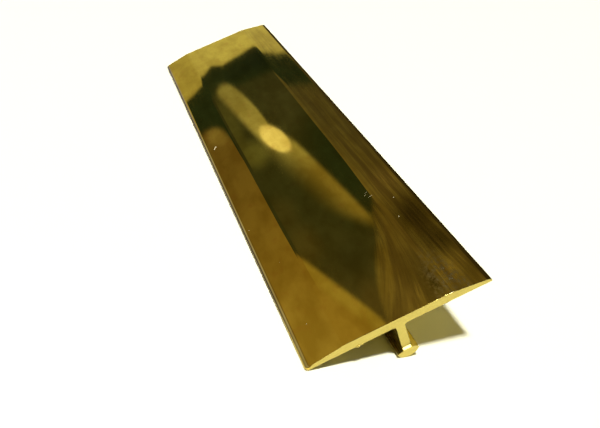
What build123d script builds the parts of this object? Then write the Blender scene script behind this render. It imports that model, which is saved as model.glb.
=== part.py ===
from build123d import *
import os

# Solid brass T-section threshold strip: a sawn length of one extruded bar.
# The cap lies over the floor joint and the barbed stem goes down into it.
# Row frame in mm: Y along the strip, X across it, Z up.
# Z = 0 is the finished floor level, the underside of the cap; X = 0 is the stem's middle.
# Y = 0 is the middle of the length.

# Driving dimensions
CAP_WIDTH = 41.4
CAP_THICKNESS = 2.3           # under the flat centre of the cap
CAP_EDGE_THICKNESS = 0.91     # where the side facets would meet the two long edges
CAP_FLAT_WIDTH = 23.2         # the level centre facet, between the two sloping side facets
EDGE_BEVEL_WIDTH = 0.95       # the steeper bevel along each long edge
EDGE_UPRIGHT = 0.63           # what the bevel leaves of each long edge
STRIP_LENGTH = 160.0
STEM_THICKNESS = 2.0
STEM_LENGTH = 7.1             # from the underside of the cap to the shoulder of the foot
FOOT_WIDTH = 4.7
FOOT_HEIGHT = 2.45            # from its shoulder to its rounded nose
FOOT_SHOULDER_DROP = 0.5      # how far the barb's upper faces slope down to its tips
FOOT_TIP_HEIGHT = 0.6         # the upright side of each barb

# Roundings of the extruded section
FACET_BREAK_RADIUS = 8.0      # softens the line between the flat and each side facet
EDGE_BEVEL_RADIUS = 1.5       # softens the line between each side facet and its bevel
CAP_UPPER_EDGE_RADIUS = 0.4
CAP_LOWER_EDGE_RADIUS = 0.2
STEM_ROOT_RADIUS = 0.6        # fillet where the stem meets the cap
FOOT_TIP_RADIUS = 0.2

# The saw stopped short at one end, so the foot keeps a lip that stands proud of the sawn face
LIP_LENGTH = 0.5
LIP_RAMP_HEIGHT = 0.3         # the ramp from the stem's sawn face out to the lip

HALF_CAP = CAP_WIDTH / 2
HALF_FLAT = CAP_FLAT_WIDTH / 2
FACET_SLOPE = (CAP_THICKNESS - CAP_EDGE_THICKNESS) / (HALF_CAP - HALF_FLAT)
BEVEL_START = HALF_CAP - EDGE_BEVEL_WIDTH
BEVEL_TOP = CAP_EDGE_THICKNESS + FACET_SLOPE * EDGE_BEVEL_WIDTH
HALF_STEM = STEM_THICKNESS / 2
HALF_FOOT = FOOT_WIDTH / 2
NEAR_END = -STRIP_LENGTH / 2
SAWN_LENGTH = STRIP_LENGTH - LIP_LENGTH
SHOULDER_Z = -STEM_LENGTH
TIP_UPPER_Z = SHOULDER_Z - FOOT_SHOULDER_DROP
TIP_LOWER_Z = TIP_UPPER_Z - FOOT_TIP_HEIGHT
NOSE_Z = SHOULDER_Z - FOOT_HEIGHT


def rounded(section, corners, radius):
    """Rounds the section's corners that lie at the given places."""
    picked = [v for v in section.vertices() if any((Vector(v) - Vector(*c)).length < 1e-3 for c in corners)]
    return fillet(picked, radius)


def both_sides(x, y):
    """A corner and its mirror image about the strip's middle plane."""
    return [(x, y), (-x, y)]


def extruded_along_strip(section, start, length):
    """Stands a section drawn in X and Z upright and extrudes it along +Y from start."""
    upright = Plane(origin=(0, start, 0), x_dir=(1, 0, 0), z_dir=(0, -1, 0))
    return extrude(upright * section, -length)


def cap_and_stem_section():
    """The T: bevelled cap with its flat underside at zero, and the stem down to the foot's shoulder."""
    outline = Polyline(
        (-HALF_CAP, 0),
        (-HALF_STEM, 0),
        (-HALF_STEM, SHOULDER_Z),
        (HALF_STEM, SHOULDER_Z),
        (HALF_STEM, 0),
        (HALF_CAP, 0),
        (HALF_CAP, EDGE_UPRIGHT),
        (BEVEL_START, BEVEL_TOP),
        (HALF_FLAT, CAP_THICKNESS),
        (-HALF_FLAT, CAP_THICKNESS),
        (-BEVEL_START, BEVEL_TOP),
        (-HALF_CAP, EDGE_UPRIGHT),
        close=True,
    )
    section = make_face(outline)
    section = rounded(section, both_sides(HALF_FLAT, CAP_THICKNESS), FACET_BREAK_RADIUS)
    section = rounded(section, both_sides(BEVEL_START, BEVEL_TOP), EDGE_BEVEL_RADIUS)
    section = rounded(section, both_sides(HALF_CAP, EDGE_UPRIGHT), CAP_UPPER_EDGE_RADIUS)
    section = rounded(section, both_sides(HALF_CAP, 0), CAP_LOWER_EDGE_RADIUS)
    return rounded(section, both_sides(HALF_STEM, 0), STEM_ROOT_RADIUS)


def foot_section():
    """The barb: sloping shoulders, short upright tips and a rounded nose."""
    outline = Polyline(
        (-HALF_FOOT, TIP_LOWER_Z),
        (-HALF_FOOT, TIP_UPPER_Z),
        (-HALF_STEM, SHOULDER_Z),
        (HALF_STEM, SHOULDER_Z),
        (HALF_FOOT, TIP_UPPER_Z),
        (HALF_FOOT, TIP_LOWER_Z),
    ) + ThreePointArc((HALF_FOOT, TIP_LOWER_Z), (0, NOSE_Z), (-HALF_FOOT, TIP_LOWER_Z))
    section = make_face(outline)
    section = rounded(section, both_sides(HALF_FOOT, TIP_UPPER_Z), FOOT_TIP_RADIUS)
    return rounded(section, both_sides(HALF_FOOT, TIP_LOWER_Z), FOOT_TIP_RADIUS)


def saw_lip_ramp():
    """The sloping end of the saw cut, from the stem's sawn face down and out to the lip of the foot."""
    ramp = Polyline(
        (NEAR_END, SHOULDER_Z),
        (NEAR_END + LIP_LENGTH, SHOULDER_Z),
        (NEAR_END + LIP_LENGTH, SHOULDER_Z + LIP_RAMP_HEIGHT),
        close=True,
    )
    side = Plane(origin=(-HALF_STEM, 0, 0), x_dir=(0, 1, 0), z_dir=(1, 0, 0))
    return extrude(side * make_face(ramp), STEM_THICKNESS)


def brass_t_profile():
    """The whole bar, one solid."""
    cap_and_stem = extruded_along_strip(cap_and_stem_section(), NEAR_END + LIP_LENGTH, SAWN_LENGTH)
    foot = extruded_along_strip(foot_section(), NEAR_END, STRIP_LENGTH)
    return cap_and_stem + foot + saw_lip_ramp()


os.makedirs("parts", exist_ok=True)
export_step(brass_t_profile(), "parts/brass_t_profile.step")
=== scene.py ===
import math

import bmesh
import bpy
import numpy as np
from mathutils import Matrix, Vector, noise


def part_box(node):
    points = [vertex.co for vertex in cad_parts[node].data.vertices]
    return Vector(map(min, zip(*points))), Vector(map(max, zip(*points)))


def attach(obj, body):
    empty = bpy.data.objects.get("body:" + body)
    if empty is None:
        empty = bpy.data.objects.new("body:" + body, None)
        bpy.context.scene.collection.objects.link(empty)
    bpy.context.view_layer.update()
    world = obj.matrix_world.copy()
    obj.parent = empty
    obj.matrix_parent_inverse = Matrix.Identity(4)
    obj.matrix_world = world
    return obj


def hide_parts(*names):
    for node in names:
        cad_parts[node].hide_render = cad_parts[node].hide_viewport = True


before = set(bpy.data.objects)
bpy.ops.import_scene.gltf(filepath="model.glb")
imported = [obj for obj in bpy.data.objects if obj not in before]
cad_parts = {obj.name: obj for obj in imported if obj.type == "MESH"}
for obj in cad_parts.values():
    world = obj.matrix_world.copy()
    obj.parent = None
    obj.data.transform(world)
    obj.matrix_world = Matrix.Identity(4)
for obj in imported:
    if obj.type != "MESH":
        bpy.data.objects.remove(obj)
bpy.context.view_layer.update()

# A solid brass T-section threshold strip, lying on one edge of its cap and on its barbed foot.
# Row frame in metres: Y along the strip, X across it, Z up from the finished floor level.

MM = 0.001
NODE = "brass_t_profile"
low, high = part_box(NODE)

# The section: its outer sizes are the frame's, the rest are its own proportions
HALF_CAP = high.x
CAP_TOP = high.z
NOSE_Z = low.z
NEAR_END = low.y
FAR_END = high.y
CAP_EDGE = 0.91 * MM        # where the side facets would meet the long edges
HALF_FLAT = 11.6 * MM       # half the level centre facet
CAP_SLOPE = (CAP_TOP - CAP_EDGE) / (HALF_CAP - HALF_FLAT)
BEVEL_WIDTH = 0.95 * MM     # the steeper bevel along each long edge
BEVEL_START = HALF_CAP - BEVEL_WIDTH
BEVEL_TOP = CAP_EDGE + CAP_SLOPE * BEVEL_WIDTH
EDGE_UPRIGHT = 0.63 * MM    # what the bevel leaves of each long edge
HALF_STEM = 1.0 * MM
HALF_FOOT = 2.35 * MM
FOOT_HEIGHT = 2.45 * MM
FOOT_SHOULDER_DROP = 0.5 * MM
FOOT_TIP_HEIGHT = 0.6 * MM
SHOULDER_Z = NOSE_Z + FOOT_HEIGHT
TIP_UPPER_Z = SHOULDER_Z - FOOT_SHOULDER_DROP
TIP_LOWER_Z = TIP_UPPER_Z - FOOT_TIP_HEIGHT
FACET_BREAK_RADIUS = 8.0 * MM
BEVEL_RADIUS = 1.5 * MM
UPPER_EDGE_RADIUS = 0.4 * MM
LOWER_EDGE_RADIUS = 0.2 * MM
STEM_ROOT_RADIUS = 0.6 * MM
SHOULDER_RADIUS = 0.05 * MM
TIP_RADIUS = 0.2 * MM

# The saw stopped short at the near end: a ramp leads from the stem's sawn face out to the foot's lip
LIP_LENGTH = 0.5 * MM
LIP_RAMP_TOP = SHOULDER_Z + 0.3 * MM
LIP_RAMP_FOOT = SHOULDER_Z + 0.04 * MM

# How the mesh is divided
RUN_STEP = 0.6 * MM         # the longest straight step round the section
RING_STEP = 1.0 * MM        # between rings along the strip
END_LENGTH = 1.5 * MM       # the stretch at each end that has closer rings of its own
ARRIS_INSET = 0.10 * MM     # how far the cut arrises are rounded off
WORN_CORNER_RADIUS = 0.7 * MM
BURR_REACH = 0.2 * MM       # how far from the near end the ragged burr runs
BURR_HEIGHT = 0.09 * MM

POLISHED, MILL, SAWN, DUST_AND_GLINT = range(4)      # the piece's material slots


# ---------------------------------------------------------------- the strip's mesh

def nose_arc(count):
    """The foot's rounded underside from its left tip to its right tip, tips left out."""
    rise = TIP_LOWER_Z - NOSE_Z
    radius = (HALF_FOOT**2 + rise**2) / (2 * rise)
    sweep = math.asin(HALF_FOOT / radius)
    angles = [sweep * (2 * i / count - 1) for i in range(1, count)]
    return [(radius * math.sin(a), NOSE_Z + radius * (1 - math.cos(a)), 0.0) for a in angles]


def section_corners():
    """Corners of the T, anticlockwise from the nose as seen from the near end: x, z, rounding radius."""
    right = [
        (HALF_FOOT, TIP_LOWER_Z, TIP_RADIUS),
        (HALF_FOOT, TIP_UPPER_Z, TIP_RADIUS),
        (HALF_STEM, SHOULDER_Z, SHOULDER_RADIUS),
        (HALF_STEM, LIP_RAMP_TOP, 0.0),
        (HALF_STEM, 0.0, STEM_ROOT_RADIUS),
        (HALF_CAP, 0.0, LOWER_EDGE_RADIUS),
        (HALF_CAP, EDGE_UPRIGHT, UPPER_EDGE_RADIUS),
        (BEVEL_START, BEVEL_TOP, BEVEL_RADIUS),
        (HALF_FLAT, CAP_TOP, FACET_BREAK_RADIUS),
    ]
    left = [(-x, z, radius) for x, z, radius in reversed(right)]
    return nose_arc(24) + right + left


def corner_arc(before, corner, after):
    """Points round one corner, each a place and an outward normal."""
    here, radius = Vector(corner[:2]), corner[2]
    along_in = (here - Vector(before[:2])).normalized()
    along_out = (Vector(after[:2]) - here).normalized()
    if radius == 0.0:
        along = (along_in + along_out).normalized()
        return [(here, Vector((along.y, -along.x)))]
    turn = math.atan2(along_in.cross(along_out), along_in.dot(along_out))
    side = math.copysign(1.0, turn)
    start = here - along_in * radius * math.tan(abs(turn) / 2)
    centre = start + Vector((-along_in.y, along_in.x)) * radius * side
    steps = max(6, math.ceil(abs(turn) / math.radians(8)))
    points = []
    for k in range(steps + 1):
        normal = Matrix.Rotation(turn * k / steps, 2) @ Vector((along_in.y, -along_in.x))
        points.append((centre + normal * radius * side, normal))
    return points


def section_outline():
    """The whole rounded section, with its long runs divided so that the surface can be worked on."""
    corners = section_corners()
    count = len(corners)
    points = []
    for i, corner in enumerate(corners):
        points += corner_arc(corners[i - 1], corner, corners[(i + 1) % count])
    outline = []
    for i, (place, normal) in enumerate(points):
        after = points[(i + 1) % len(points)][0]
        pieces = max(1, math.ceil((after - place).length / RUN_STEP))
        outline += [(place.lerp(after, k / pieces), normal) for k in range(pieces)]
    return outline


def smooth_step(t):
    t = min(max(t, 0.0), 1.0)
    return t * t * (3 - 2 * t)


def saw_step(z):
    """How far the near end's face stands back from the foot's lip at this height."""
    return LIP_LENGTH * min(max((z - LIP_RAMP_FOOT) / (LIP_RAMP_TOP - LIP_RAMP_FOOT), 0.0), 1.0)


def ring_depths():
    """Distances of the rings from an end, and how far each is drawn in to round the arris: metres."""
    arris = [(0.0, ARRIS_INSET), (0.03 * MM, 0.03 * MM), (ARRIS_INSET, 0.0)]
    return arris + [(depth * MM, 0.0) for depth in (0.2, 0.35, 0.55, 0.8)]


def strip_rings():
    """Every ring along the strip: (end it belongs to, depth from that end, inset)."""
    ends = ring_depths()
    length = FAR_END - NEAR_END
    count = round((length - 2 * END_LENGTH) / RING_STEP)
    body = [("body", END_LENGTH + (length - 2 * END_LENGTH) * k / count, 0.0) for k in range(count + 1)]
    near = [("near", depth, inset) for depth, inset in ends]
    far = [("far", length - depth, inset) for depth, inset in reversed(ends)]
    return near + body + far


def eased_corner(x, along):
    """How far the worn near left corner of the cap is drawn in across the strip."""
    radius = WORN_CORNER_RADIUS
    if x > 0 or along > radius:
        return 0.0
    near_edge = smooth_step((-x - HALF_CAP + 2.0 * MM) / (1.6 * MM))
    return (radius - math.sqrt(radius**2 - (radius - along)**2)) * near_edge


def ragged(x, z, along):
    """How far the saw's burr stands out of the section near the near end, on the underside and the foot."""
    if z > 0.2 * MM or along > BURR_REACH:
        return 0.0
    rough = noise.noise(Vector((x / (1.1 * MM), z / (0.8 * MM), 3.7)))
    fine = noise.noise(Vector((x / (0.45 * MM), z / (0.5 * MM), 9.1)))
    return BURR_HEIGHT * max(0.0, rough + 0.6 * fine + 0.15)


def streak_place(x, y):
    """Where a point lies on the scuffs: across them, then along them, in millimetres.

    The scuffs run lengthwise and spread like a fan over the flat towards the near end.
    """
    pivot_x, pivot_y = 11.5, -40.0
    reach = 20.0 if x < pivot_x else 70.0
    spread = 1 + (max(pivot_y - y, 0.0) / reach)**2
    return pivot_x + (x - pivot_x) / spread, y


def scuffing(x, y):
    """How scuffed the polish is at a point of the top, in millimetres: 0 bright, 1 worn."""
    start = -4.0 + 14.5 * min((y + 80) / 40, 1.0)
    across = smooth_step((x - start) / 3.0)
    along = 1 - 0.65 * smooth_step((y + 35) / 80)
    return max(across * along, 0.03)


def dustiness(x, y):
    """The grey smear by the near end, in millimetres."""
    return smooth_step(1.7 - math.hypot((x - 12.6) / 2.9, (y + 78) / 9.0))


def strip_piece(name):
    """The strip as one closed mesh with its true section normals, and the burrs and specks on it."""
    outline = section_outline()
    rings = strip_rings()
    count = len(outline)
    verts = []
    normals = []
    for end, along, inset in rings:
        for place, normal in outline:
            spot = place - normal * inset
            if end == "near":
                spot = spot + normal * ragged(place.x, place.y, along)
                spot.x += eased_corner(place.x, along)
            step = saw_step(place.y) * (1 - smooth_step(along / END_LENGTH))
            verts.append(Vector((spot.x, NEAR_END + along + step, spot.y)))
            lean = inset / ARRIS_INSET * (-1 if end == "near" else 1)
            normals.append(Vector((normal.x, lean, normal.y)).normalized())
    faces = []
    slots = []
    for r in range(len(rings) - 1):
        for i in range(count):
            j = (i + 1) % count
            faces.append((r * count + i, (r + 1) * count + i, (r + 1) * count + j, r * count + j))
            middle = (outline[i][0].y + outline[j][0].y) / 2
            slots.append(POLISHED if middle > 0.15 * MM else MILL)
    side_faces = len(faces)
    last = (len(rings) - 1) * count
    ends = near_end_faces(outline) + [tuple(last + i for i in reversed(range(count)))]
    faces += ends
    slots += [SAWN] * len(ends)
    flat_faces = set(range(side_faces, len(faces)))
    for grains, slot in ((BURRS, SAWN), (SPECKS, DUST_AND_GLINT)):
        for grain in grains:
            add_grain(grain, slot, verts, normals, faces, slots)

    mesh = bpy.data.meshes.new(name)
    mesh.from_pydata(verts, [], faces)
    mesh.polygons.foreach_set("material_index", slots)
    mesh.polygons.foreach_set("use_smooth", [True] * len(faces))
    loop_normals = []
    for face in mesh.polygons:
        for vertex in face.vertices:
            loop_normals.append(face.normal if face.index in flat_faces else normals[vertex])
    mesh.normals_split_custom_set(loop_normals)
    surface_attribute(mesh, "scuff", [scuffing(v.x / MM, v.y / MM) for v in verts])
    surface_attribute(mesh, "dust", [dustiness(v.x / MM, v.y / MM) for v in verts])
    surface_attribute(mesh, "streak_across", [streak_place(v.x / MM, v.y / MM)[0] for v in verts])
    piece = bpy.data.objects.new(name, mesh)
    bpy.context.scene.collection.objects.link(piece)
    return piece


def surface_attribute(mesh, name, values):
    mesh.attributes.new(name, "FLOAT", "POINT").data.foreach_set("value", values)


# Burrs that the saw left, and pale specks that sit on the polish:
# place, half sizes, turn about Z in degrees
BURRS = [
    ((10.4, -79.5, 2.28), (0.42, 0.16, 0.14), 8),
    ((-9.4, -79.55, -0.02), (0.55, 0.18, 0.20), -6),
    ((-8.4, -79.5, -0.05), (0.30, 0.12, 0.12), 4),
]
SPECKS = [
    # The nick: a raised sliver whose pale colour is a painted glint; the grains after it are dust specks
    ((-17.6, 9.0, None), (0.95, 0.21, 0.08), 48),
    ((15.4, -46.0, None), (0.16, 0.08, 0.04), 35),
    ((13.3, -53.0, None), (0.20, 0.11, 0.04), 80),
    ((-16.5, -69.8, None), (0.13, 0.07, 0.03), 80),
    ((-19.0, -33.5, None), (0.13, 0.06, 0.03), 75),
    ((-15.8, -49.4, None), (0.10, 0.07, 0.03), 20),
    ((10.9, -42.6, None), (0.70, 0.034, 0.014), 12),
    ((10.1, -41.5, None), (0.50, 0.030, 0.014), 10),
    ((10.5, -40.7, None), (0.34, 0.024, 0.014), 14),
    ((-17.9, -79.4, 0.0), (0.40, 0.14, 0.10), 0),
]


def top_height(x):
    """The height of the cap's top at a distance from its middle, both in millimetres."""
    return CAP_TOP / MM - max(abs(x) - HALF_FLAT / MM, 0.0) * CAP_SLOPE


def add_grain(grain, slot, verts, normals, faces, slots):
    """One closed lumpy grain, half sunk into the surface."""
    (x, y, z), half_sizes, turn = grain
    centre = Vector((x, y, top_height(x) if z is None else z)) * MM
    rotation = Matrix.Rotation(math.radians(turn), 3, "Z")
    shape = bmesh.new()
    bmesh.ops.create_icosphere(shape, subdivisions=3, radius=1.0)
    shape.verts.ensure_lookup_table()
    first = len(verts)
    for vertex in shape.verts:
        lump = 1 + 0.35 * noise.noise(vertex.co * 1.7 + centre * 900)
        spot = Vector([c * h * lump for c, h in zip(vertex.co, half_sizes)]) * MM
        facing = Vector([c / h for c, h in zip(vertex.co, half_sizes)]).normalized()
        verts.append(centre + rotation @ spot)
        normals.append(rotation @ facing)
    for face in shape.faces:
        faces.append(tuple(first + v.index for v in face.verts))
        slots.append(slot)
    shape.free()


def near_end_faces(outline):
    """The sawn face above the ramp, the ramp, and the foot's lip."""
    count = len(outline)
    on_right = [i for i, (p, n) in enumerate(outline) if p.x > 0 and p.x < HALF_STEM * 1.01]
    on_left = [i for i, (p, n) in enumerate(outline) if p.x < 0 and p.x > -HALF_STEM * 1.01]
    nearest = lambda spots, z: min(spots, key=lambda i: abs(outline[i][0].y - z))
    right_top, right_foot = nearest(on_right, LIP_RAMP_TOP), nearest(on_right, LIP_RAMP_FOOT)
    left_top, left_foot = nearest(on_left, LIP_RAMP_TOP), nearest(on_left, LIP_RAMP_FOOT)
    around = lambda a, b: [i % count for i in range(a, b + 1 if b >= a else b + count + 1)]
    upper = around(right_top, left_top)
    ramp = around(right_foot, right_top) + around(left_top, left_foot)
    foot = around(left_foot, right_foot)
    return [tuple(face) for face in (upper, ramp, foot)]


# ---------------------------------------------------------------- materials

def new_material(name):
    material = bpy.data.materials.new(name)
    material.use_nodes = True
    nodes, links = material.node_tree.nodes, material.node_tree.links
    return material, nodes, links, nodes["Principled BSDF"]


def socket(node, identifier, side="inputs"):
    """A mix node's socket, by the identifier that tells its kinds apart."""
    return next(s for s in getattr(node, side) if s.identifier == identifier)


class Nodes:
    """A material, and short ways to add the nodes that the strip's materials share."""

    def __init__(self, name):
        self.material, self.nodes, self.links, self.shader = new_material(name)
        self.shader.inputs["Metallic"].default_value = 1.0
        self.place = self.nodes.new("ShaderNodeTexCoord").outputs["Object"]

    def attribute(self, name):
        node = self.nodes.new("ShaderNodeAttribute")
        node.attribute_name = name
        return node.outputs["Fac"]

    def math(self, operation, *values, clamp=False):
        node = self.nodes.new("ShaderNodeMath")
        node.operation = operation
        node.use_clamp = clamp
        for socket_in, value in zip(node.inputs, values):
            self.feed(socket_in, value)
        return node.outputs[0]

    def feed(self, socket_in, value):
        if isinstance(value, bpy.types.NodeSocket):
            self.links.new(value, socket_in)
        else:
            socket_in.default_value = value

    def spread(self, value, low, high, to_low=0.0, to_high=1.0):
        """The value from low to high stretched over another range."""
        node = self.nodes.new("ShaderNodeMapRange")
        limits = {"From Min": low, "From Max": high, "To Min": to_low, "To Max": to_high}
        for name, number in limits.items():
            node.inputs[name].default_value = number
        self.links.new(value, node.inputs["Value"])
        return node.outputs["Result"]

    def grain(self, sizes, turn=0.0, detail=3.0, place=None, roughness=0.5):
        """Noise whose features measure sizes, in millimetres, after a turn about Z in degrees."""
        turned = self.nodes.new("ShaderNodeVectorRotate")
        turned.rotation_type = "Z_AXIS"
        turned.inputs["Angle"].default_value = math.radians(turn)
        self.links.new(place or self.place, turned.inputs["Vector"])
        sized = self.nodes.new("ShaderNodeMapping")
        sized.inputs["Scale"].default_value = [1 / (size * MM) for size in sizes]
        self.links.new(turned.outputs["Vector"], sized.inputs["Vector"])
        texture = self.nodes.new("ShaderNodeTexNoise")
        texture.inputs["Scale"].default_value = 1.0
        texture.inputs["Detail"].default_value = detail
        texture.inputs["Roughness"].default_value = roughness
        self.links.new(sized.outputs["Vector"], texture.inputs["Vector"])
        return texture.outputs["Fac"]

    def blend(self, factor, tone_a, tone_b):
        node = self.nodes.new("ShaderNodeMix")
        node.data_type = "RGBA"
        self.links.new(factor, node.inputs["Factor"])
        for identifier, tone in (("A_Color", tone_a), ("B_Color", tone_b)):
            is_socket = isinstance(tone, bpy.types.NodeSocket)
            self.feed(socket(node, identifier), tone if is_socket else (*tone, 1))
        return socket(node, "Result_Color", "outputs")

    def relief(self, height, depth, under=None):
        """A bump whose full height is depth millimetres."""
        node = self.nodes.new("ShaderNodeBump")
        node.inputs["Distance"].default_value = depth * MM
        self.links.new(height, node.inputs["Height"])
        if under is not None:
            self.links.new(under, node.inputs["Normal"])
        return node.outputs["Normal"]

    def finish(self, color, roughness, normal):
        self.links.new(color, self.shader.inputs["Base Color"])
        self.links.new(roughness, self.shader.inputs["Roughness"])
        self.links.new(normal, self.shader.inputs["Normal"])
        return self.material


BRASS = (0.86, 0.65, 0.125)
WARM_BRASS = (0.64, 0.45, 0.06)
ORANGE_BRASS = (0.70, 0.38, 0.07)
TARNISH = (0.36, 0.24, 0.045)
# Painted shade: the dark that the long edges' bevels mirror, laid into their colour
ARRIS_PAINTED_SHADE = (0.15, 0.11, 0.035)
DUST = (0.55, 0.52, 0.38)
SAWN_BRASS = (0.61, 0.51, 0.15)
SAWN_DULL = (0.53, 0.42, 0.11)
MILL_BRASS = (0.60, 0.49, 0.12)
MILL_TARNISH = (0.45, 0.36, 0.09)
# Pale tones for the dust specks, and a painted glint on the nick
DUST_AND_GLINT_PALE = (0.52, 0.47, 0.30)
DUST_AND_GLINT_DARK = (0.36, 0.31, 0.17)

# Distances from the strip's middle over which the bevel along the long edges turns from polish to painted
# shade, a darker band that stands in for the dark these edges mirror
ARRIS_SHADE_BAND = (HALF_CAP - 0.60 * MM, HALF_CAP - 0.38 * MM)
# and the stretch of the strip, from near its near end, over which that painted shade comes up to full
# strength
ARRIS_SHADE_START = (-78 * MM, -58 * MM)


def polished_brass():
    """Mirror polish with faint drawing lines, patches of tarnish, smudges, a scuffed side and painted shade
    along the long edges' bevels.
    """
    n = Nodes("polished_brass")
    across = n.nodes.new("ShaderNodeCombineXYZ")
    lengthwise = n.nodes.new("ShaderNodeSeparateXYZ")
    n.links.new(n.place, lengthwise.inputs[0])
    n.links.new(n.math("MULTIPLY", n.attribute("streak_across"), MM), across.inputs["X"])
    n.links.new(lengthwise.outputs["Y"], across.inputs["Y"])
    streaks = across.outputs[0]

    scuff = n.attribute("scuff")
    broad = n.spread(n.grain((0.55, 20, 1), place=streaks, detail=4), 0.42, 0.60)
    fine = n.spread(n.grain((0.14, 7, 1), place=streaks, detail=3), 0.40, 0.62)
    bands = n.spread(n.grain((1.7, 34, 1), place=streaks, detail=3), 0.42, 0.60)
    worn = n.math("MULTIPLY", scuff, n.math("MULTIPLY_ADD", broad, 0.6, n.math("MULTIPLY", fine, 0.4)))
    patina = n.spread(n.grain((5, 9, 5), detail=3), 0.38, 0.64)
    spots = n.spread(n.grain((2.2, 3.0, 2.2), detail=4), 0.56, 0.74)
    mottle = n.spread(n.grain((1.1, 1.6, 1.1), detail=5, roughness=0.7), 0.30, 0.75)
    flecks = n.spread(n.grain((0.9, 1.3, 0.9), detail=4, roughness=0.7), 0.46, 0.72)
    dust = n.math("MULTIPLY", n.attribute("dust"), flecks, clamp=True)
    hairs = n.spread(n.grain((0.05, 9, 1), turn=7, detail=2), 0.66, 0.74)

    color = n.blend(n.math("MULTIPLY", patina, 0.9), BRASS, WARM_BRASS)
    color = n.blend(n.math("MULTIPLY", spots, 0.3), color, ORANGE_BRASS)
    color = n.blend(n.math("MULTIPLY", n.math("MULTIPLY", scuff, bands), 0.75), color, TARNISH)
    color = n.blend(n.math("MULTIPLY", worn, 0.75), color, TARNISH)
    color = n.blend(n.math("MULTIPLY", dust, 0.85), color, DUST)
    # Painted shade: the bevels along the long edges are darkened towards that tone, less so near the near
    # end
    arris = n.spread(n.math("ABSOLUTE", lengthwise.outputs["X"]), *ARRIS_SHADE_BAND)
    arris = n.math("MULTIPLY", arris, n.spread(lengthwise.outputs["Y"], *ARRIS_SHADE_START, 0.3, 1.0))
    color = n.blend(arris, color, ARRIS_PAINTED_SHADE)

    roughness = n.spread(mottle, 0.0, 1.0, 0.018, 0.040)
    roughness = n.math("MULTIPLY_ADD", worn, 0.10, roughness)
    roughness = n.math("MULTIPLY_ADD", dust, 0.26, roughness)
    roughness = n.math("MULTIPLY_ADD", hairs, 0.05, roughness)

    waves = n.relief(n.grain((9, 26, 9), detail=1), 0.004)
    lines = n.relief(n.grain((0.16, 60, 1), detail=2), 0.0001, waves)
    scratched = n.relief(worn, 0.0014, lines)
    normal = n.relief(dust, 0.002, scratched)
    return n.finish(color, roughness, normal)


def mill_brass():
    """The drawn finish below the cap: dull, browner, with lengthwise die lines."""
    n = Nodes("mill_brass")
    die_lines = n.grain((0.22, 70, 0.22), detail=3)
    cloudy = n.grain((4, 12, 4), detail=4)
    color = n.blend(n.spread(cloudy, 0.35, 0.68), MILL_BRASS, MILL_TARNISH)
    color = n.blend(n.math("MULTIPLY", n.spread(die_lines, 0.4, 0.7), 0.3), color, BRASS)
    roughness = n.spread(n.math("ADD", cloudy, die_lines), 0.6, 1.4, 0.20, 0.36)
    return n.finish(color, roughness, n.relief(die_lines, 0.010))


def sawn_brass():
    """The cut ends: bright bare metal with saw marks across it."""
    n = Nodes("sawn_brass")
    marks = n.grain((5.0, 0.5, 0.16), detail=3)
    torn = n.grain((0.45, 0.4, 0.35), detail=4)
    color = n.blend(n.spread(marks, 0.35, 0.7), SAWN_BRASS, SAWN_DULL)
    roughness = n.spread(torn, 0.3, 0.7, 0.34, 0.55)
    return n.finish(color, roughness, n.relief(n.math("ADD", marks, torn), 0.020))


def dust_and_glint():
    """Pale dust for the specks; on the nick the same pale colour is a painted glint."""
    n = Nodes("dust_and_glint")
    n.shader.inputs["Metallic"].default_value = 0.0
    lumps = n.grain((0.12, 0.12, 0.12), detail=3)
    color = n.blend(n.spread(lumps, 0.35, 0.7), DUST_AND_GLINT_PALE, DUST_AND_GLINT_DARK)
    return n.finish(color, n.spread(lumps, 0.3, 0.7, 0.7, 0.9), n.relief(lumps, 0.02))


strip = strip_piece("brass_strip")
for material in (polished_brass(), mill_brass(), sawn_brass(), dust_and_glint()):
    strip.data.materials.append(material)
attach(strip, "root")
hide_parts(NODE)


# ---------------------------------------------------------------- floor, light and camera

def resting_plane(points):
    """A point and the normal of the plane that the strip lies on, by the cap's left edge and its foot."""
    edge = [p for p in points if p.x < -HALF_CAP / 2]
    foot = [p for p in points if p.y < SHOULDER_Z]
    lowest = lambda group, tilt: min(p.x * math.sin(tilt) + p.y * math.cos(tilt) for p in group)
    near, far = 0.0, math.radians(60)
    for _ in range(40):
        tilt = (near + far) / 2
        if lowest(edge, tilt) > lowest(foot, tilt):
            near = tilt
        else:
            far = tilt
    normal = Vector((math.sin(tilt), 0, math.cos(tilt)))
    return normal * lowest(edge, tilt), normal


floor_point, floor_normal = resting_plane([p for p, _ in section_outline()])


FLOOR_PALE = (0.86, 0.86, 0.68, 1)


def floor():
    """A plain pale floor. From below it is clear, so that the strip can be seen from there too."""
    reach = 1.5
    across = Vector((floor_normal.z, 0, -floor_normal.x)) * reach
    along = Vector((0, reach, 0))
    turns = ((-1, -1), (1, -1), (1, 1), (-1, 1))
    mesh = bpy.data.meshes.new("floor")
    mesh.from_pydata([floor_point + across * a + along * b for a, b in turns], [], [(0, 1, 2, 3)])
    plane = bpy.data.objects.new("floor", mesh)
    bpy.context.scene.collection.objects.link(plane)
    material, nodes, links, shader = new_material("pale_floor")
    shader.inputs["Base Color"].default_value = FLOOR_PALE
    shader.inputs["Roughness"].default_value = 0.6
    one_sided = nodes.new("ShaderNodeMixShader")
    side = nodes.new("ShaderNodeNewGeometry")
    clear = nodes.new("ShaderNodeBsdfTransparent")
    links.new(side.outputs["Backfacing"], one_sided.inputs["Fac"])
    links.new(shader.outputs[0], one_sided.inputs[1])
    links.new(clear.outputs[0], one_sided.inputs[2])
    links.new(one_sided.outputs[0], nodes["Material Output"].inputs["Surface"])
    mesh.materials.append(material)


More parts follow.
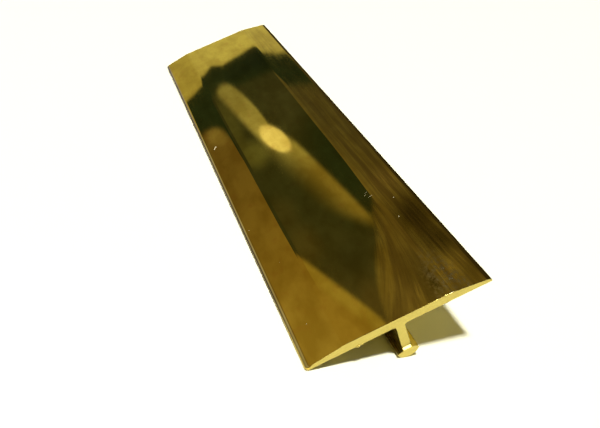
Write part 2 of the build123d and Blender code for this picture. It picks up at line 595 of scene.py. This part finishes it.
def ceiling_light():
    """One bright lamp almost overhead, a little to the right and towards the near end."""
    data = bpy.data.lights.new("ceiling_light", "SUN")
    data.energy = 4.5
    data.angle = math.radians(6.5)
    lamp = bpy.data.objects.new("ceiling_light", data)
    lamp.rotation_mode = "QUATERNION"
    lamp.rotation_quaternion = Vector((0.318, -0.158, 0.935)).to_track_quat("Z", "Y")
    bpy.context.scene.collection.objects.link(lamp)


ROOM_DIM_LEFT = (0.05, 0.035, 0.012, 1)
ROOM_DIM_RIGHT = (0.40, 0.345, 0.16, 1)
WHITE = (1, 1, 1, 1)


def surroundings():
    """White behind the strip, and a dim warm room for the shadows, darker on the left."""
    world = bpy.data.worlds.new("room")
    bpy.context.scene.world = world
    world.use_nodes = True
    nodes, links = world.node_tree.nodes, world.node_tree.links
    direction = nodes.new("ShaderNodeTexCoord")
    split = nodes.new("ShaderNodeSeparateXYZ")
    links.new(direction.outputs["Generated"], split.inputs[0])
    across = nodes.new("ShaderNodeMapRange")
    across.inputs["From Min"].default_value = -0.6
    across.inputs["From Max"].default_value = 0.9
    links.new(split.outputs["X"], across.inputs["Value"])
    dim_side = nodes.new("ShaderNodeMix")
    dim_side.data_type = "RGBA"
    links.new(across.outputs["Result"], dim_side.inputs["Factor"])
    socket(dim_side, "A_Color").default_value = ROOM_DIM_LEFT
    socket(dim_side, "B_Color").default_value = ROOM_DIM_RIGHT
    rays = nodes.new("ShaderNodeLightPath")
    shade = nodes.new("ShaderNodeMix")
    shade.data_type = "RGBA"
    links.new(rays.outputs["Is Camera Ray"], shade.inputs["Factor"])
    links.new(socket(dim_side, "Result_Color", "outputs"), socket(shade, "A_Color"))
    socket(shade, "B_Color").default_value = WHITE
    links.new(socket(shade, "Result_Color", "outputs"), nodes["Background"].inputs["Color"])


# What the polished brass mirrors: a room painted on a far dome, in degrees of azimuth (from +Y towards +X)
# and elevation. The colours are light, before the brass tints it.
DOME_RADIUS = 80.0
PALE_WALL = (0.56, 0.54, 0.26)
PALE_WALL_LEFT = (0.42, 0.38, 0.15)
GOLD_LOW = (0.148, 0.105, 0.040)
GOLD_HIGH = (0.300, 0.215, 0.068)
GOLD_RIM = (0.330, 0.262, 0.090)
BROWN = (0.180, 0.145, 0.066)
BROWN_LOW = (0.108, 0.098, 0.056)
OLIVE = (0.039, 0.044, 0.027)
DEEP_OLIVE = (0.020, 0.032, 0.021)
BLACK_OLIVE = (0.012, 0.020, 0.017)
BROWN_OLIVE = (0.085, 0.072, 0.036)
CUPBOARD_TOP = (0.062, 0.056, 0.033)
LAMP_START = (0.265, 0.255, 0.135)
LAMP_PALE = (0.40, 0.385, 0.22)
LAMP_GOLD = (0.250, 0.205, 0.080)
LAMP_END = (0.95, 0.89, 0.66)
LAMP_HALO = (0.135, 0.142, 0.068)
WINDOW_LEFT = (0.40, 0.40, 0.62)      # mirrored only by the bevel along the left edge
SKIRTING_RIGHT = (0.070, 0.055, 0.028)    # mirrored only by the bevel along the right edge
GOLD_LEFT = (0.350, 0.270, 0.112)

# The dark cupboard's two long edges, from its top corner down
CUPBOARD_CORNER = (12.6, 51.0)
CUPBOARD_TOP_LEFT = [(7.8, 46.3), (4.8, 42.9)]
CUPBOARD_LEFT = CUPBOARD_TOP_LEFT + [(-6, 42.4), (-7.3, 39.4), (-6.2, 35.2), (-5.0, 30.2), (-4.8, 20)]
CUPBOARD_RIGHT = [
    (12.5, 48.7), (12.7, 47.2), (13.1, 45.8), (14.6, 42.8), (14.7, 41.4), (16.6, 35),
    (15.5, 32.6), (13, 30.7), (11.4, 28.1), (9.8, 26.4), (9.6, 20),
]
# The deep shadow along the foot of the far wall, with a step up on the left
SHELF = [
    (-20, 27.6), (-8.9, 27.9), (-8.2, 28.2), (-7.7, 29), (-7.5, 30.2), (-7, 31.5), (-5, 33), (-3, 27),
    (9, 26.4), (14, 25.2), (18, 23.9), (22, 23.6), (28, 23), (28, 18), (-20, 18),
]
# The top of the pale wall, from left to right
WALL_TOP = [
    (-180, 26), (-54, 28), (-46, 35), (-33, 31), (-26, 27), (-20, 25), (-7.5, 24.9), (-6.3, 24.8),
    (-2, 25.05), (2.6, 24.7), (3.6, 24.2), (4.6, 24.5), (8, 23.9), (10, 23.25), (12, 22.4),
    (14.5, 21.1), (15.6, 20.9), (17, 21.05), (24, 20.6), (60, 24), (180, 26),
]

# Soft patches of other tones: how strongly each covers, its centre, its radii and its tone
CUPBOARD_PATCHES = [
    (0.9, (13.0, 35.5), (3.2, 5.5), DEEP_OLIVE),
    (0.5, (8.8, 29.5), (2.2, 2.4), (0.062, 0.066, 0.050)),
    (0.6, (5.6, 42.0), (1.8, 1.8), BROWN_OLIVE),
    (0.7, (4.6, 38.8), (1.6, 1.6), (0.062, 0.058, 0.032)),
    (0.6, (11.6, 49.0), (1.8, 2.0), (0.100, 0.080, 0.045)),
    (0.5, (11.0, 44.2), (2.2, 1.6), (0.036, 0.040, 0.028)),
]
RIGHT_WALL_PATCHES = [
    (0.8, (14.9, 48.6), (1.4, 2.4), (0.245, 0.200, 0.105)),
    (0.7, (18.0, 46.5), (1.6, 2.2), (0.085, 0.066, 0.034)),
    (0.9, (31.6, 34.4), (2.2, 1.5), (0.030, 0.024, 0.010)),
    (0.9, (34.4, 36.3), (2.4, 1.2), (0.034, 0.028, 0.012)),
    (0.7, (38.4, 38.3), (1.4, 0.7), (0.085, 0.070, 0.032)),
    (0.9, (36.2, 39.0), (1.4, 0.7), (0.300, 0.235, 0.105)),
    (0.85, (19.2, 48.5), (1.5, 1.5), (0.050, 0.045, 0.022)),
    (0.6, (28.4, 31.6), (1.5, 0.8), (0.230, 0.175, 0.100)),
    (0.8, (17.1, 49.4), (1.0, 1.2), (0.260, 0.205, 0.105)),
    (0.6, (20.0, 24.6), (2.5, 0.9), (0.080, 0.068, 0.036)),
]
SHELF_PATCHES = [
    (1.0, (8.2, 24.9), (2.0, 1.1), BLACK_OLIVE),
    (0.6, (5.4, 25.4), (1.4, 0.6), BLACK_OLIVE),
    (0.85, (-8.5, 28.9), (0.8, 0.7), (0.270, 0.225, 0.115)),
]
LAMP_PATCHES = [
    (0.75, (4.3, 32.7), (1.3, 1.1), LAMP_HALO),
    (0.55, (3.1, 29.8), (0.9, 3.0), (0.105, 0.110, 0.052)),
]


def ramp(value, start, end):
    """0 before start, 1 after end, smooth between: arrays."""
    t = np.clip((value - start) / (end - start), 0, 1)
    return t * t * (3 - 2 * t)


def painted(picture, cover, tone):
    """The picture with a tone laid over it where cover is 1."""
    return picture + np.asarray(cover)[..., None] * (np.array(tone) - picture)


def graded(cover, tone_from, tone_to):
    """A picture that goes from one tone to another as cover goes from 0 to 1."""
    return painted(np.broadcast_to(np.array(tone_from), cover.shape + (3,)), cover, tone_to)


def blob(azimuth, elevation, centre, radii, soft=0.6):
    """1 inside an ellipse, fading over its outer part."""
    reach = np.hypot((azimuth - centre[0]) / radii[0], (elevation - centre[1]) / radii[1])
    return 1 - ramp(reach, 1 - soft, 1 + soft)


def patched(picture, az, el, patches):
    """The picture with each soft patch laid over it in turn."""
    for strength, centre, radii, tone in patches:
        picture = painted(picture, strength * blob(az, el, centre, radii), tone)
    return picture


def outlined(azimuth, elevation, outline, soft):
    """1 inside a polygon, fading across its edge over a width of 2 * soft degrees."""
    nearest = np.full(azimuth.shape, 1e9)
    inside = np.zeros(azimuth.shape, bool)
    for (x0, y0), (x1, y1) in zip(outline, outline[1:] + outline[:1]):
        run, rise = x1 - x0, y1 - y0
        along = ((azimuth - x0) * run + (elevation - y0) * rise) / (run**2 + rise**2)
        along = np.clip(along, 0, 1)
        gap = np.hypot(azimuth - x0 - along * run, elevation - y0 - along * rise)
        nearest = np.minimum(nearest, gap)
        if rise != 0:
            crosses = (elevation < y0) != (elevation < y1)
            inside ^= crosses & (azimuth < x0 + (elevation - y0) * run / rise)
    return ramp(np.where(inside, nearest, -nearest), -soft, soft)


def room_picture(az, el):
    """The light that comes from each direction."""
    picture = graded(ramp(el, 30, 50), GOLD_LOW, GOLD_HIGH)
    picture = painted(picture, ramp(-az, 12, 19) * ramp(el, 40, 45), GOLD_LEFT)
    picture = painted(picture, ramp(az, 24, 60), BROWN)
    picture = painted_right_wall(picture, az, el)
    picture = painted_cupboard(picture, az, el)
    picture = painted(picture, outlined(az, el, SHELF, 0.35), DEEP_OLIVE)
    picture = patched(picture, az, el, SHELF_PATCHES)
    picture = painted_lamp(picture, az, el)
    picture = painted_pale_wall(picture, az, el)
    above_skirting = el - 21.0 - 0.8 * (az - 20)
    return painted(picture, ramp(az, 19.5, 21) * (1 - ramp(above_skirting, -0.8, 0.0)), SKIRTING_RIGHT)


def painted_right_wall(picture, az, el):
    """The golden rim over the cupboard, and the brown wall on its right with its lit and dark patches."""
    rim = [(x - 1.0, y + 1.0) for x, y in [CUPBOARD_CORNER] + CUPBOARD_TOP_LEFT] + [(8, 40), (14, 46)]
    picture = painted(picture, outlined(az, el, rim, 0.5), GOLD_RIM)
    behind_cupboard = [(x - 1.0, y) for x, y in CUPBOARD_RIGHT]
    wall = [CUPBOARD_CORNER] + behind_cupboard + [(60, 20), (60, 56), (13, 56)]
    brown = graded(ramp(el, 25, 38), BROWN_LOW, BROWN)
    picture = painted(picture, outlined(az, el, wall, 0.4), brown)
    return patched(picture, az, el, RIGHT_WALL_PATCHES)


def painted_cupboard(picture, az, el):
    """Dark olive, browner towards its upper edges and darker beside the lamp."""
    tones = patched(graded(ramp(el, 37, 51), OLIVE, CUPBOARD_TOP), az, el, CUPBOARD_PATCHES)
    cupboard = [CUPBOARD_CORNER] + CUPBOARD_LEFT + CUPBOARD_RIGHT[::-1]
    return painted(picture, outlined(az, el, cupboard, 0.35), tones)


def painted_pale_wall(picture, az, el):
    """The pale wall low on the far side, with a window on the left that only the left bevel mirrors."""
    tone = graded(ramp(az, -9, 6), PALE_WALL_LEFT, PALE_WALL)
    from_window = np.abs(el - 15 + 0.68 * (az + 18))
    window = ramp(-az, 12, 16) * ramp(az, -50, -45) * (1 - ramp(from_window, 3, 5))
    tone = painted(tone, window, WINDOW_LEFT)
    top_az, top_el = zip(*WALL_TOP)
    wall = 1 - ramp(el - np.interp(az, top_az, top_el), -0.10, 0.13)
    return painted(picture, wall, tone)


def painted_lamp(picture, az, el):
    """A long lamp seen end on: a pale tube that turns golden as it recedes, and its bright round end."""
    right = 4.9 + 0.56 * (el - 26.4) + 0.0045 * (el - 26.4)**2
    left = 3.1 + 0.42 * (el - 26.7) + 0.0075 * (el - 26.7)**2
    tube = ramp(az - left, -0.4, 0.4) * (1 - ramp(az - right, -0.35, 0.3))
    tube *= ramp(el - 0.6 * (az - 3.95)**2, 25.7, 26.4)
    glow = ramp(az, 6.3 + 0.62 * (el - 36), right - 0.2)**1.3 * (1 - ramp(az - right, -0.35, 0.35))
    glow *= 1 - ramp(el - 0.45 * (az - 13.5), 40.6, 42.4)
    far = ramp(el, 31.8, 33.2)
    body = tube * (1 - far) + glow * far
    tone = painted(graded(ramp(el, 26.5, 31), LAMP_START, LAMP_PALE), ramp(el, 33, 36.5), LAMP_GOLD)
    picture = patched(picture, az, el, LAMP_PATCHES)
    picture = painted(picture, body, tone)
    slanted = az - 0.5 * (el - 32.0)
    return painted(picture, blob(slanted, el, (6.85, 32.05), (1.12, 1.45), 0.14), LAMP_END)


def dome():
    """The room painted on a far dome that only the brass can see."""
    az = np.concatenate([np.arange(-180, -20, 4), np.arange(-20, 24, 0.15), np.arange(24, 48, 0.5),
                         np.arange(48, 181, 4)])
    el = np.concatenate([np.arange(-90, 18, 4), np.arange(18, 34, 0.1), np.arange(34, 54, 0.25),
                         np.arange(54, 91, 4)])
    columns, rows = len(az), len(el)
    az_all, el_all = np.meshgrid(az, el)
    turn, rise = np.radians(az_all), np.radians(el_all)
    spots = np.stack([np.sin(turn) * np.cos(rise), np.cos(turn) * np.cos(rise), np.sin(rise)], -1)
    first = (np.arange(rows - 1)[:, None] * columns + np.arange(columns - 1)[None, :]).ravel()
    faces = np.stack([first, first + 1, first + columns + 1, first + columns], -1)
    mesh = bpy.data.meshes.new("room")
    mesh.from_pydata((spots * DOME_RADIUS).reshape(-1, 3).tolist(), [], faces.tolist())
    light = mesh.color_attributes.new("light", "FLOAT_COLOR", "POINT")
    picture = room_picture(az_all, el_all).reshape(-1, 3)
    light.data.foreach_set("color", np.hstack([picture, np.ones((len(picture), 1))]).ravel())
    shell = bpy.data.objects.new("room", mesh)
    bpy.context.scene.collection.objects.link(shell)
    shell.visible_camera = False
    shell.visible_diffuse = False
    shell.visible_shadow = False
    shell.visible_transmission = False
    material = bpy.data.materials.new("room")
    material.use_nodes = True
    nodes, links = material.node_tree.nodes, material.node_tree.links
    nodes.remove(nodes["Principled BSDF"])
    paint = nodes.new("ShaderNodeVertexColor")
    paint.layer_name = "light"
    glow = nodes.new("ShaderNodeEmission")
    links.new(paint.outputs["Color"], glow.inputs["Color"])
    links.new(glow.outputs[0], nodes["Material Output"].inputs["Surface"])
    mesh.materials.append(material)


def camera():
    """From the near end, above and a little to the left, rolled clockwise."""
    data = bpy.data.cameras.new("camera")
    data.sensor_width = 36
    data.lens = 38.5
    aim = Vector((-6.05, -37.5, 2.3)) * MM
    azimuth, elevation, roll = math.radians(-6.49), math.radians(39.08), math.radians(-20.8)
    distance = 157.2 * MM
    flat = math.cos(elevation)
    back = Vector((math.sin(azimuth) * flat, -math.cos(azimuth) * flat, math.sin(elevation)))
    view = bpy.data.objects.new("camera", data)
    view.location = aim + back * distance
    view.rotation_mode = "QUATERNION"
    view.rotation_quaternion = back.to_track_quat("Z", "Y") @ Matrix.Rotation(roll, 3, "Z").to_quaternion()
    data.clip_start = 0.005
    data.clip_end = 50
    bpy.context.scene.collection.objects.link(view)
    bpy.context.scene.camera = view


floor()
dome()
ceiling_light()
surroundings()
camera()
bpy.context.scene.view_settings.view_transform = "Standard"
